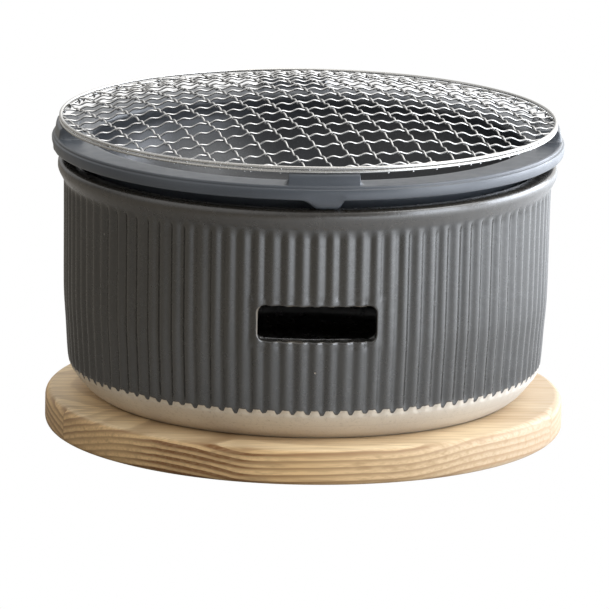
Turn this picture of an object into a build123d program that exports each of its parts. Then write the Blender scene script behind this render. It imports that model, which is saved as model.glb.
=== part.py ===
from build123d import *
import os
from math import cos, pi, radians, sin, sqrt

# A round table-top charcoal grill. Millimetres, +Z up. The origin is the
# centre of the board's underside, and the draught slot faces -Y.

os.makedirs("parts", exist_ok=True)

# ---------------------------------------------------------------- dimensions
# wooden board
BOARD_R = 133.0
BOARD_T = 18.5
BOARD_EDGE_R = 4.0

# stoneware body: heights are above its foot
FOOT_Z = BOARD_T
FOOT_OUT_R = 105.5
FOOT_IN_R = 97.0
FOOT_RECESS = 2.5
FLOOR_TOP = 9.0
BODY_IN_R = 114.5
LIP_IN_R = 118.0
LIP_OUT_R = 127.9
LIP_TOP_R = 126.4
LIP_Z = 121.1
BAND_Z = 110.0
REEDS = 104
REED_TURN = -0.2        # degrees from +X to the first crest
# (height, crest radius, reed depth) of the reeded wall
REED_SECTIONS = [
    (9.2, 118.0, 0.25),
    (14.5, 121.0, 1.1),
    (22.0, 122.1, 1.3),
    (55.0, 124.2, 1.3),
    (BAND_Z, 124.8, 1.3),
]
SLOT_W = 59.5
SLOT_Z0 = 53.1
SLOT_Z1 = 71.0
SLOT_R = 3.6

# cast fire pan: heights are above the board's underside
LIP_TOP = FOOT_Z + LIP_Z
FLANGE_Z0 = LIP_TOP + 5.7
FLANGE_Z1 = FLANGE_Z0 + 7.2
FLANGE_OUT_R = 131.1
STRIP_OUT_R = 129.4
STRIP_IN_R = 115.5
BOWL_IN_R = 110.4
BOWL_WALL = 3.5
MOUTH_R = 72.0          # the pan's open bottom, which the grate covers
LEDGE_Z = 102.0
LEDGE_R = 83.0
FEET = 4
TURN = 0.85             # the pan stands turned a little against the slot
PAD_H = 5.8
PAD_HALF_DEG = 8.2
# lug outline, seen from outside: (sideways, height) with a long left ramp
LUG_OUTLINE = [(-3.4, 0.0), (8.0, 0.0), (9.8, 6.0), (-11.1, 6.0)]

# charcoal grate
GRATE_R = 81.5
GRATE_T = 5.0
GRATE_HOLE_R = 4.5

# wire net
NET_SEAT = FLANGE_Z1 + PAD_H
RIM_R = 126.7           # centreline of both rim rings
RIM_WIRE = 1.6
RIM_GAP = 0.3
MESH_WIRE = 1.05
MESH_PITCH = 13.12
SHIFT_ACROSS = 0.54     # how far each family's middle wire misses the centre
SHIFT_ALONG = 1.9
MESH_TURN = 16.5        # degrees from +X
DOME_H = 15.6
WIRE_REACH_R = 127.3

# ---------------------------------------------------------------- board
with BuildPart() as board:
    with BuildSketch(Plane.XY):
        Circle(BOARD_R)
    extrude(amount=BOARD_T)
    fillet(board.edges().filter_by(GeomType.CIRCLE), radius=BOARD_EDGE_R)
board.part.label = "base_board"
export_step(board.part, "parts/base_board.step")


# ---------------------------------------------------------------- body
def reed_point(radius, step):
    angle = step * pi / REEDS + radians(REED_TURN)
    return (radius * cos(angle), radius * sin(angle))


with BuildPart() as body:
    # the reeded wall: one arc per reed, ruled from section to section
    for height, crest, depth in REED_SECTIONS:
        with BuildSketch(Plane.XY.offset(FOOT_Z + height)):
            with BuildLine():
                for i in range(REEDS):
                    ThreePointArc(
                        reed_point(crest - depth, 2 * i - 1),
                        reed_point(crest, 2 * i),
                        reed_point(crest - depth, 2 * i + 1),
                    )
            make_face()
    loft(ruled=True)
    # turned-in foot
    with BuildSketch(Plane.XZ):
        with BuildLine():
            Polyline(
                (0, FOOT_Z + 9.2),
                (0, FOOT_Z + FOOT_RECESS),
                (FOOT_IN_R - 1.5, FOOT_Z + FOOT_RECESS),
                (FOOT_IN_R, FOOT_Z),
                (FOOT_OUT_R, FOOT_Z),
            )
            ThreePointArc(
                (FOOT_OUT_R, FOOT_Z),
                (FOOT_OUT_R + 7.4, FOOT_Z + 4.0),
                (117.75, FOOT_Z + 9.2),
            )
            Line((117.75, FOOT_Z + 9.2), (0, FOOT_Z + 9.2))
        make_face()
    revolve(axis=Axis.Z)
    # plain bulging band and rounded lip
    with BuildSketch(Plane.XZ):
        with BuildLine():
            Line((0, FOOT_Z + BAND_Z), (123.9, FOOT_Z + BAND_Z))
            Spline(
                (123.9, FOOT_Z + BAND_Z),
                (126.2, FOOT_Z + 112.2),
                (LIP_OUT_R, FOOT_Z + 116.4),
                (127.3, FOOT_Z + 119.4),
                (124.6, FOOT_Z + LIP_Z),
                tangents=((1, 0.25), (-1, 0)),
            )
            Line((124.6, FOOT_Z + LIP_Z), (0, FOOT_Z + LIP_Z))
            Line((0, FOOT_Z + LIP_Z), (0, FOOT_Z + BAND_Z))
        make_face()
    revolve(axis=Axis.Z)
    # hollow
    with BuildSketch(Plane.XZ) as hollow:
        with BuildLine():
            Polyline((0, FOOT_Z + FLOOR_TOP), (BODY_IN_R - 16, FOOT_Z + FLOOR_TOP))
            ThreePointArc(
                (BODY_IN_R - 16, FOOT_Z + FLOOR_TOP),
                (BODY_IN_R - 4.69, FOOT_Z + FLOOR_TOP + 4.69),
                (BODY_IN_R, FOOT_Z + FLOOR_TOP + 16),
            )
            Polyline(
                (BODY_IN_R, FOOT_Z + FLOOR_TOP + 16),
                (BODY_IN_R + 1.0, FOOT_Z + 100),
                (LIP_IN_R, FOOT_Z + 113),
                (LIP_IN_R, FOOT_Z + LIP_Z - 2.6),
            )
            ThreePointArc(
                (LIP_IN_R, FOOT_Z + LIP_Z - 2.6),
                (LIP_IN_R + 0.76, FOOT_Z + LIP_Z - 0.76),
                (LIP_IN_R + 2.6, FOOT_Z + LIP_Z),
            )
            Polyline(
                (LIP_IN_R + 2.6, FOOT_Z + LIP_Z),
                (LIP_IN_R + 2.6, FOOT_Z + LIP_Z + 5),
                (0, FOOT_Z + LIP_Z + 5),
                (0, FOOT_Z + FLOOR_TOP),
            )
        make_face()
    revolve(axis=Axis.Z, mode=Mode.SUBTRACT)
    # draught slots, front and rear
    slot_mid = FOOT_Z + (SLOT_Z0 + SLOT_Z1) / 2
    with BuildSketch(Plane.XZ.offset(135)):
        with Locations((0, slot_mid)):
            RectangleRounded(SLOT_W, SLOT_Z1 - SLOT_Z0, SLOT_R)
    extrude(amount=-270, mode=Mode.SUBTRACT)
body.part.label = "ceramic_body"
export_step(body.part, "parts/ceramic_body.step")

# ---------------------------------------------------------------- fire pan
OUT_R = BOWL_IN_R + BOWL_WALL
with BuildPart() as pan:
    with BuildSketch(Plane.XZ):
        with BuildLine():
            # outside, from under the ledge up to the flange
            Polyline(
                (MOUTH_R + 0.6, LEDGE_Z - BOWL_WALL),
                (LEDGE_R + 1.0, LEDGE_Z - BOWL_WALL),
            )
            ThreePointArc(
                (LEDGE_R + 1.0, LEDGE_Z - BOWL_WALL),
                (105.3, 118.4),
                (OUT_R, FLANGE_Z0 - 4.0),
            )
            Line((OUT_R, FLANGE_Z0 - 4.0), (OUT_R, FLANGE_Z0))
            Line((OUT_R, FLANGE_Z0), (129.0, FLANGE_Z0))
            # rounded flange edge
            Spline(
                (129.0, FLANGE_Z0),
                (130.6, FLANGE_Z0 + 1.6),
                (FLANGE_OUT_R, FLANGE_Z0 + 4.6),
                (130.6, FLANGE_Z0 + 6.3),
                (STRIP_OUT_R, FLANGE_Z1),
                tangents=((1, 0.2), (-1, 0.25)),
            )
            Line((STRIP_OUT_R, FLANGE_Z1), (STRIP_IN_R, FLANGE_Z1))
            # inside, from the strip down to the ledge under the grate
            ThreePointArc(
                (STRIP_IN_R, FLANGE_Z1),
                (BOWL_IN_R + 1.55, FLANGE_Z1 - 1.55),
                (BOWL_IN_R, FLANGE_Z1 - 5.1),
            )
            Line((BOWL_IN_R, FLANGE_Z1 - 5.1), (BOWL_IN_R, FLANGE_Z0 - 4.0))
            ThreePointArc(
                (BOWL_IN_R, FLANGE_Z0 - 4.0),
                (102.2, 120.2),
                (LEDGE_R, LEDGE_Z),
            )
            Polyline(
                (LEDGE_R, LEDGE_Z),
                (MOUTH_R + 0.6, LEDGE_Z),
                (MOUTH_R, LEDGE_Z - 0.6),
                (MOUTH_R, LEDGE_Z - BOWL_WALL + 0.6),
                (MOUTH_R + 0.6, LEDGE_Z - BOWL_WALL),
            )
        make_face()
    revolve(axis=Axis.Z)
    for k in range(FEET):
        # raised pads that carry the net
        facing = -90 + TURN + k * 360 / FEET
        start = radians(facing - PAD_HALF_DEG)
        with BuildSketch(
            Plane(
                origin=(0, 0, 0),
                x_dir=(cos(start), sin(start), 0),
                z_dir=(sin(start), -cos(start), 0),
            )
        ):
            Polygon(
                (STRIP_IN_R + 0.4, FLANGE_Z1 - 0.6),
                (STRIP_OUT_R, FLANGE_Z1 - 0.6),
                (STRIP_OUT_R, FLANGE_Z1 + 0.2),
                (127.9, FLANGE_Z1 + PAD_H),
                (STRIP_IN_R + 1.6, FLANGE_Z1 + PAD_H),
                align=None,
            )
        revolve(axis=Axis.Z, revolution_arc=2 * PAD_HALF_DEG)
        # lugs that stand on the lip of the body
        way = radians(facing)
        with BuildSketch(
            Plane(
                origin=(127.0 * cos(way), 127.0 * sin(way), LIP_TOP),
                x_dir=(-sin(way), cos(way), 0),
                z_dir=(cos(way), sin(way), 0),
            )
        ):
            Polygon(*LUG_OUTLINE, align=None)
        extrude(amount=-9.0)
pan.part.label = "fire_pan"
export_step(pan.part, "parts/fire_pan.step")

# ---------------------------------------------------------------- grate
with BuildPart() as grate:
    with BuildSketch(Plane.XY.offset(LEDGE_Z)):
        Circle(GRATE_R)
        for ring_r, count in ((18.0, 6), (34.0, 12), (50.0, 18), (65.0, 24)):
            with PolarLocations(ring_r, count):
                Circle(GRATE_HOLE_R, mode=Mode.SUBTRACT)
        Circle(GRATE_HOLE_R, mode=Mode.SUBTRACT)
    extrude(amount=GRATE_T)
    chamfer(
        grate.edges().filter_by(GeomType.CIRCLE).filter_by(lambda e: e.radius > 50),
        length=0.8,
    )
grate.part.label = "charcoal_grate"
export_step(grate.part, "parts/charcoal_grate.step")

# ---------------------------------------------------------------- net
LOWER_Z = NET_SEAT + RIM_WIRE / 2
UPPER_Z = LOWER_Z + RIM_WIRE + RIM_GAP
MID_Z = (LOWER_Z + UPPER_Z) / 2

with BuildPart() as rim_lower:
    with BuildSketch(Plane.XZ):
        with Locations((RIM_R, LOWER_Z)):
            Circle(RIM_WIRE / 2)
    revolve(axis=Axis.Z)
rim_lower.part.label = "net_rim_lower"
export_step(rim_lower.part, "parts/net_rim_lower.step")

with BuildPart() as rim_upper:
    with BuildSketch(Plane.XZ):
        with Locations((RIM_R, UPPER_Z)):
            Circle(RIM_WIRE / 2)
    revolve(axis=Axis.Z)
rim_upper.part.label = "net_rim_upper"
export_step(rim_upper.part, "parts/net_rim_upper.step")


def bowed_wires(turn_deg, lift, shift, name):
    """One family of parallel net wires, each a single arc on the dome."""
    turn = radians(turn_deg)
    along = (cos(turn), sin(turn))
    across = (-sin(turn), cos(turn))
    with BuildPart() as wires:
        for k in range(-9, 10):
            off = k * MESH_PITCH + shift
            half = sqrt(WIRE_REACH_R**2 - off**2)
            rise = DOME_H * (1 - (off / WIRE_REACH_R) ** 2)

            def spot(s, z):
                return (
                    across[0] * off + along[0] * s,
                    across[1] * off + along[1] * s,
                    z,
                )

            with BuildLine() as path:
                # the ends are pinched between the two rim rings
                ThreePointArc(
                    spot(-half, MID_Z),
                    spot(0, MID_Z + lift + rise),
                    spot(half, MID_Z),
                )
            with BuildSketch(
                Plane(origin=path.line @ 0, z_dir=path.line % 0)
            ):
                Circle(MESH_WIRE / 2)
            sweep(path=path.line)
    wires.part.label = name
    return wires


wires_a = bowed_wires(MESH_TURN, -0.58, SHIFT_ACROSS, "net_wires_across")
export_step(wires_a.part, "parts/net_wires_across.step")
wires_b = bowed_wires(MESH_TURN + 90, 0.58, SHIFT_ALONG, "net_wires_along")
export_step(wires_b.part, "parts/net_wires_along.step")
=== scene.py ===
import math
import random
from math import atan2, cos, exp, hypot, pi, radians, sin, sqrt, tau

import bpy
from mathutils import Matrix, Vector


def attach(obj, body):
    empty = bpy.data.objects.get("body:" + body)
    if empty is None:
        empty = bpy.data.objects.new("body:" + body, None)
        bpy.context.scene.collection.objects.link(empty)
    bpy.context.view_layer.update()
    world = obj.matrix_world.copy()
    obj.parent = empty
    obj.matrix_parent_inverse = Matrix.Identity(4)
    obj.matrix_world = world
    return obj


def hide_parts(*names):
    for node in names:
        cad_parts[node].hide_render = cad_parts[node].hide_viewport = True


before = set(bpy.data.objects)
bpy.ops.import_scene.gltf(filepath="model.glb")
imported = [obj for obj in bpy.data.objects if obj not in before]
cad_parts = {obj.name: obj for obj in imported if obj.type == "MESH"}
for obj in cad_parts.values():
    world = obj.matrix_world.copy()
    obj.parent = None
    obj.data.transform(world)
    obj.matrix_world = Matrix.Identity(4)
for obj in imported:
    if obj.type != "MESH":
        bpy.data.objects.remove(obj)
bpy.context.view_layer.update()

MM = 0.001
scene = bpy.context.scene

# ------------------------------------------------------------------ camera
CAM_D = 8000 / 1.94 * MM
CAM_A = radians(-3.0)
CAM_E = radians(13.63)
CAM_ROLL = radians(1.1)


def make_camera():
    data = bpy.data.cameras.new("camera")
    cam = bpy.data.objects.new("camera", data)
    scene.collection.objects.link(cam)
    data.sensor_width = 36.0
    data.lens = 36.0 * 8000 / 609
    data.clip_start = 0.1
    data.clip_end = 60.0
    back = Vector((cos(CAM_E) * sin(CAM_A), -cos(CAM_E) * cos(CAM_A), sin(CAM_E)))
    right = Vector((cos(CAM_A), sin(CAM_A), 0.0))
    up = back.cross(right)
    aim = Matrix((right, up, back)).transposed().to_4x4()
    # the origin lands 1.8 px left of and 119.2 px below the middle
    ox = -1.8 * cos(CAM_ROLL) + 119.2 * sin(CAM_ROLL)
    oy = -1.8 * sin(CAM_ROLL) - 119.2 * cos(CAM_ROLL)
    turn = Matrix.Rotation(math.atan(-oy / 8000), 4, "X")
    turn = turn @ Matrix.Rotation(math.atan(ox / 8000), 4, "Y")
    turn = turn @ Matrix.Rotation(CAM_ROLL, 4, "Z")
    cam.matrix_world = Matrix.Translation(back * CAM_D) @ aim @ turn
    scene.camera = cam
    return cam


make_camera()

# ------------------------------------------------------------------ helpers


def build(name, verts, faces, mats, body, smooth=True, face_mats=None):
    """Mesh object from millimetre points, riding on a body."""
    mesh = bpy.data.meshes.new(name)
    mesh.from_pydata([(x * MM, y * MM, z * MM) for x, y, z in verts], [], faces)
    for m in mats:
        mesh.materials.append(m)
    if face_mats is not None:
        mesh.polygons.foreach_set("material_index", face_mats)
    mesh.polygons.foreach_set("use_smooth", [smooth] * len(mesh.polygons))
    mesh.validate()
    mesh.update()
    obj = bpy.data.objects.new(name, mesh)
    scene.collection.objects.link(obj)
    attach(obj, body)
    return obj


def sstep(a, b, x):
    t = min(1.0, max(0.0, (x - a) / (b - a)))
    return t * t * (3 - 2 * t)


def lerp(a, b, t):
    return a + (b - a) * t


def arc_pts(cx, cz, r, a0, a1, n):
    """n+1 points on an arc, angles in degrees."""
    return [
        (cx + r * cos(radians(lerp(a0, a1, i / n))), cz + r * sin(radians(lerp(a0, a1, i / n))))
        for i in range(n + 1)
    ]


def catmull(points, steps):
    """Smooth curve through 2-D points."""
    out = []
    n = len(points)
    for i in range(n - 1):
        p0 = points[max(i - 1, 0)]
        p1, p2 = points[i], points[i + 1]
        p3 = points[min(i + 2, n - 1)]
        for k in range(steps):
            t = k / steps
            out.append(
                tuple(
                    0.5
                    * (
                        2 * b
                        + (c - a) * t
                        + (2 * a - 5 * b + 4 * c - d) * t * t
                        + (3 * b - a - 3 * c + d) * t ** 3
                    )
                    for a, b, c, d in zip(p0, p1, p2, p3)
                )
            )
    out.append(points[-1])
    return out


class Interp:
    """Smooth interpolation of y over x through given points."""

    def __init__(self, pts):
        self.p = sorted(pts)

    def __call__(self, x):
        p = self.p
        if x <= p[0][0]:
            return p[0][1]
        if x >= p[-1][0]:
            return p[-1][1]
        i = 0
        while p[i + 1][0] < x:
            i += 1
        x0, y0 = p[i]
        x1, y1 = p[i + 1]
        h = x1 - x0
        s = (y1 - y0) / h

        def slope(j):
            if j <= 0 or j >= len(p) - 1:
                a, b = (0, 1) if j <= 0 else (len(p) - 2, len(p) - 1)
                return (p[b][1] - p[a][1]) / (p[b][0] - p[a][0])
            sa = (p[j][1] - p[j - 1][1]) / (p[j][0] - p[j - 1][0])
            sb = (p[j + 1][1] - p[j][1]) / (p[j + 1][0] - p[j][0])
            return 0.0 if sa * sb <= 0 else 2 * sa * sb / (sa + sb)

        m0, m1 = slope(i), slope(i + 1)
        t = (x - x0) / h
        return (
            y0 * (2 * t ** 3 - 3 * t ** 2 + 1)
            + m0 * h * (t ** 3 - 2 * t ** 2 + t)
            + y1 * (-2 * t ** 3 + 3 * t ** 2)
            + m1 * h * (t ** 3 - t ** 2)
        )


# ------------------------------------------------------------------ nodes


class Nodes:
    """Short way to write a node tree."""

    def __init__(self, name):
        self.mat = bpy.data.materials.new(name)
        self.mat.use_nodes = True
        self.t = self.mat.node_tree
        self.t.nodes.clear()
        self.out = self.t.nodes.new("ShaderNodeOutputMaterial")
        self.bsdf = self.t.nodes.new("ShaderNodeBsdfPrincipled")
        self.t.links.new(self.bsdf.outputs[0], self.out.inputs[0])
        self._coord = None

    def link(self, a, b):
        self.t.links.new(a, b)

    def put(self, socket, value):
        if isinstance(value, bpy.types.NodeSocket):
            self.t.links.new(value, socket)
        else:
            socket.default_value = value

    def coord(self):
        if self._coord is None:
            self._coord = self.t.nodes.new("ShaderNodeTexCoord")
        return self._coord.outputs["Object"]

    def math(self, op, a, b=0.0, c=None, clamp=False):
        n = self.t.nodes.new("ShaderNodeMath")
        n.operation = op
        n.use_clamp = clamp
        self.put(n.inputs[0], a)
        self.put(n.inputs[1], b)
        if c is not None:
            self.put(n.inputs[2], c)
        return n.outputs[0]

    def xyz(self, v=None):
        n = self.t.nodes.new("ShaderNodeSeparateXYZ")
        self.link(v if v is not None else self.coord(), n.inputs[0])
        return n.outputs

    def vec(self, x, y, z):
        n = self.t.nodes.new("ShaderNodeCombineXYZ")
        for s, v in zip(n.inputs, (x, y, z)):
            self.put(s, v)
        return n.outputs[0]

    def mapping(self, v, scale=(1, 1, 1), loc=(0, 0, 0), rot=(0, 0, 0)):
        n = self.t.nodes.new("ShaderNodeMapping")
        self.link(v, n.inputs[0])
        n.inputs["Location"].default_value = loc
        n.inputs["Rotation"].default_value = rot
        n.inputs["Scale"].default_value = scale
        return n.outputs[0]

    def noise(self, v, scale, detail=3.0, rough=0.5, color=False, dist=0.0):
        n = self.t.nodes.new("ShaderNodeTexNoise")
        self.link(v, n.inputs["Vector"])
        n.inputs["Scale"].default_value = scale
        n.inputs["Detail"].default_value = detail
        n.inputs["Roughness"].default_value = rough
        n.inputs["Distortion"].default_value = dist
        return n.outputs["Color"] if color else n.outputs["Fac"]

    def voronoi(self, v, scale, feature="F1", out="Distance", rand=1.0):
        n = self.t.nodes.new("ShaderNodeTexVoronoi")
        n.feature = feature
        self.link(v, n.inputs["Vector"])
        n.inputs["Scale"].default_value = scale
        n.inputs["Randomness"].default_value = rand
        return n.outputs[out]

    def ramp(self, fac, stops, interp="LINEAR"):
        n = self.t.nodes.new("ShaderNodeValToRGB")
        self.put(n.inputs[0], fac)
        cr = n.color_ramp
        cr.interpolation = interp
        while len(cr.elements) < len(stops):
            cr.elements.new(0.5)
        for e, (p, c) in zip(cr.elements, stops):
            e.position = p
            e.color = (*c, 1.0) if len(c) == 3 else c
        return n.outputs[0]

    def mix(self, fac, a, b, mode="MIX"):
        n = self.t.nodes.new("ShaderNodeMix")
        n.data_type = "RGBA"
        n.blend_type = mode
        n.clamp_factor = True
        self.put(n.inputs[0], fac)
        for s, v in ((n.inputs[6], a), (n.inputs[7], b)):
            if isinstance(v, bpy.types.NodeSocket):
                self.link(v, s)
            else:
                s.default_value = (*v, 1.0)
        return n.outputs[2]

    def span(self, v, a, b, lo=0.0, hi=1.0, smooth=False):
        n = self.t.nodes.new("ShaderNodeMapRange")
        n.interpolation_type = "SMOOTHSTEP" if smooth else "LINEAR"
        n.clamp = True
        self.put(n.inputs["Value"], v)
        n.inputs["From Min"].default_value = a
        n.inputs["From Max"].default_value = b
        n.inputs["To Min"].default_value = lo
        n.inputs["To Max"].default_value = hi
        return n.outputs[0]

    def bump(self, height, strength, dist, normal=None):
        n = self.t.nodes.new("ShaderNodeBump")
        n.inputs["Strength"].default_value = strength
        n.inputs["Distance"].default_value = dist
        self.link(height, n.inputs["Height"])
        if normal is not None:
            self.link(normal, n.inputs["Normal"])
        return n.outputs[0]

    def set(self, **kw):
        for k, v in kw.items():
            s = self.bsdf.inputs[k.replace("_", " ").capitalize() if k not in SOCK else SOCK[k]]
            if isinstance(v, (tuple, list)) and len(v) == 3 and not isinstance(v, bpy.types.NodeSocket):
                s.default_value = (*v, 1.0)
            else:
                self.put(s, v)


SOCK = {
    "base": "Base Color",
    "rough": "Roughness",
    "metal": "Metallic",
    "normal": "Normal",
    "ior": "IOR",
    "spec": "Specular IOR Level",
    "coat": "Coat Weight",
    "coat_rough": "Coat Roughness",
    "aniso": "Anisotropic",
}

REEDS = 104
REED_TURN = radians(-0.2)
FZ = 18.5
SLOT_HALF = 29.75
SLOT_LO, SLOT_HI = FZ + 53.1, FZ + 71.0
SLOT_RAD = 3.6


def glaze_material():
    """Dark satin glaze that stops in teeth above a bare buff foot."""
    n = Nodes("body_glaze")
    p = n.coord()
    x, y, z = n.xyz()
    ang = n.math("ARCTAN2", y, x)
    reed = n.math("MULTIPLY", n.math("SUBTRACT", ang, REED_TURN), REEDS / tau)
    # 0 on a crest, 1 in a valley
    wave = n.math("COSINE", n.math("MULTIPLY", reed, tau))
    valley = n.math("MULTIPLY_ADD", wave, -0.5, 0.5)
    radius = n.math("SQRT", n.math("ADD", n.math("MULTIPLY", x, x), n.math("MULTIPLY", y, y)))
    outer = n.span(radius, 0.1160, 0.1165)
    low_noise = n.noise(n.mapping(p, (1, 1, 0.4)), 38.0, 2.0)
    tooth_noise = n.noise(n.mapping(p, (1, 1, 0.1)), 125.0, 1.0)
    fine_noise = n.noise(p, 420.0, 2.0)
    # how far the glaze hangs down: blunt teeth in the valleys
    tooth = n.span(valley, 0.35, 1.0, smooth=True)
    hang = n.math("MULTIPLY", tooth, n.span(tooth_noise, 0.3, 0.7, 0.0012, 0.0029))
    hang = n.math("MULTIPLY_ADD", low_noise, 0.0013, hang)
    hang = n.math("MULTIPLY_ADD", fine_noise, 0.0006, hang)
    edge = n.math("SUBTRACT", 0.0185 + 0.0183, hang)
    edge = n.math("MULTIPLY_ADD", n.math("MINIMUM", x, 0.0), 0.0105, edge)
    above = n.math("SUBTRACT", z, edge)
    glazed_out = n.span(above, -0.00012, 0.00012, smooth=True)
    # the inside is glazed down to its floor
    inside = n.math("MULTIPLY", n.math("SUBTRACT", 1.0, outer), n.span(z, 0.0268, 0.0270))
    glazed = n.math("MAXIMUM", glazed_out, inside)
    # glaze colour
    cloud = n.noise(p, 16.0, 4.0, 0.55)
    fleck = n.noise(p, 900.0, 3.0, 0.7)
    streak = n.noise(n.mapping(p, (1, 1, 0.07)), 260.0, 3.0, 0.6)
    dark = n.mix(n.span(cloud, 0.3, 0.7), (0.0135, 0.0125, 0.0105), (0.023, 0.0213, 0.0180))
    dark = n.mix(n.span(fleck, 0.48, 0.72, 0.0, 0.42), dark, (0.070, 0.064, 0.054))
    dark = n.mix(n.span(streak, 0.45, 0.75, 0.0, 0.25), dark, (0.070, 0.064, 0.055))
    crest = n.span(valley, 0.0, 0.35, 1.0, 0.0, smooth=True)
    dark = n.mix(n.math("MULTIPLY", crest, 0.12), dark, (0.075, 0.068, 0.058))
    # the plain band and lip are a little browner
    band = n.span(z, 0.1285, 0.131)
    dark = n.mix(n.math("MULTIPLY", band, 0.40), dark, (0.042, 0.034, 0.025))
    # glaze thins to a lighter line just above its lower edge
    thin = n.span(above, 0.0, 0.0009, 0.0, 1.0, smooth=True)
    dark = n.mix(n.math("MULTIPLY", n.math("SUBTRACT", 1.0, thin), 0.30), dark, (0.12, 0.095, 0.062))
    # and breaks to bare clay in patches along the draught slots' edges
    ax = n.math("SUBTRACT", n.math("ABSOLUTE", x), (SLOT_HALF - SLOT_RAD) * MM)
    az = n.math("SUBTRACT", n.math("ABSOLUTE", n.math("SUBTRACT", z, (SLOT_LO + SLOT_HI) / 2 * MM)), ((SLOT_HI - SLOT_LO) / 2 - SLOT_RAD) * MM)
    px = n.math("MAXIMUM", ax, 0.0)
    pz = n.math("MAXIMUM", az, 0.0)
    far = n.math("SQRT", n.math("ADD", n.math("MULTIPLY", px, px), n.math("MULTIPLY", pz, pz)))
    far = n.math("ADD", far, n.math("MINIMUM", n.math("MAXIMUM", ax, az), 0.0))
    rim = n.math("ABSOLUTE", n.math("SUBTRACT", far, (SLOT_RAD + 0.35) * MM))
    chip = n.noise(n.mapping(p, (1, 1, 0.6)), 85.0, 3.0, 0.6)
    side = n.span(x, -0.0315, -0.0270, 0.22, 0.0)
    wide = n.span(n.math("ADD", chip, side), 0.48, 0.74, 0.0, 0.00062)
    broke = n.span(n.math("SUBTRACT", wide, rim), -0.0001, 0.00015, smooth=True)
    broke = n.math("MULTIPLY", broke, n.span(radius, 0.1190, 0.1200))
    broke = n.math("MULTIPLY", broke, n.math("MAXIMUM", n.span(z, 0.0725, 0.0745, 0.35, 1.0), n.span(x, -0.0310, -0.0275, 1.0, 0.0)))
    dark = n.mix(n.math("MULTIPLY", broke, 0.6), dark, (0.26, 0.215, 0.155))
    # pin holes
    cell = n.voronoi(p, 95.0)
    pick = n.xyz(n.voronoi(p, 95.0, out="Color"))[0]
    hole = n.math("MULTIPLY", n.span(cell, 0.035, 0.055, 1.0, 0.0), n.span(pick, 0.90, 0.905))
    dark = n.mix(hole, dark, (0.42, 0.37, 0.30))
    # bare clay
    grit = n.noise(p, 650.0, 4.0, 0.7)
    tone = n.noise(n.mapping(p, (1, 1, 2.5)), 22.0, 3.0)
    clay = n.mix(n.span(tone, 0.3, 0.75), (0.535, 0.455, 0.345), (0.63, 0.55, 0.435))
    clay = n.mix(n.span(grit, 0.54, 0.70, 0.0, 0.65), clay, (0.36, 0.29, 0.21))
    # painted shade: the clay is painted darker towards the board, where the foot turns under
    clay = n.mix(n.span(z, 0.0185, 0.0275, 0.40, 0.0), clay, (0.45, 0.355, 0.255))
    # the inside wall is painted much darker below its top few millimetres
    dark = n.mix(n.math("MULTIPLY", n.math("SUBTRACT", 1.0, outer), n.span(z, 0.137, 0.133, 0.0, 0.75)), dark, (0.006, 0.0055, 0.005))
    # painted light: the bare clay is painted greyer towards the brightly lit right
    clay = n.mix(n.span(x, -0.03, 0.115, 0.0, 0.75), clay, (0.49, 0.466, 0.428))
    color = n.mix(glazed, clay, dark)
    rough_g = n.span(n.noise(p, 160.0, 3.0), 0.3, 0.7, 0.21, 0.30)
    rough = n.math("ADD", n.math("MULTIPLY", glazed, rough_g), n.math("MULTIPLY", n.math("SUBTRACT", 1.0, glazed), 0.85))
    rough = n.math("MULTIPLY_ADD", broke, 0.3, rough)
    skin = n.math("ADD", n.math("MULTIPLY", n.noise(p, 260.0, 3.0, 0.55), 0.75), n.math("MULTIPLY", n.noise(p, 60.0, 2.0), 1.3))
    skin = n.math("SUBTRACT", skin, n.math("MULTIPLY", hole, 1.5))
    skin = n.math("MULTIPLY_ADD", broke, -0.8, skin)
    bare = n.math("MULTIPLY", grit, 1.2)
    h = n.math("ADD", n.math("MULTIPLY", glazed, n.math("ADD", skin, 1.2)), n.math("MULTIPLY", n.math("SUBTRACT", 1.0, glazed), bare))
    n.set(base=color, rough=rough, ior=1.9, normal=n.bump(h, 0.75, 0.00016))
    return n.mat


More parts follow.
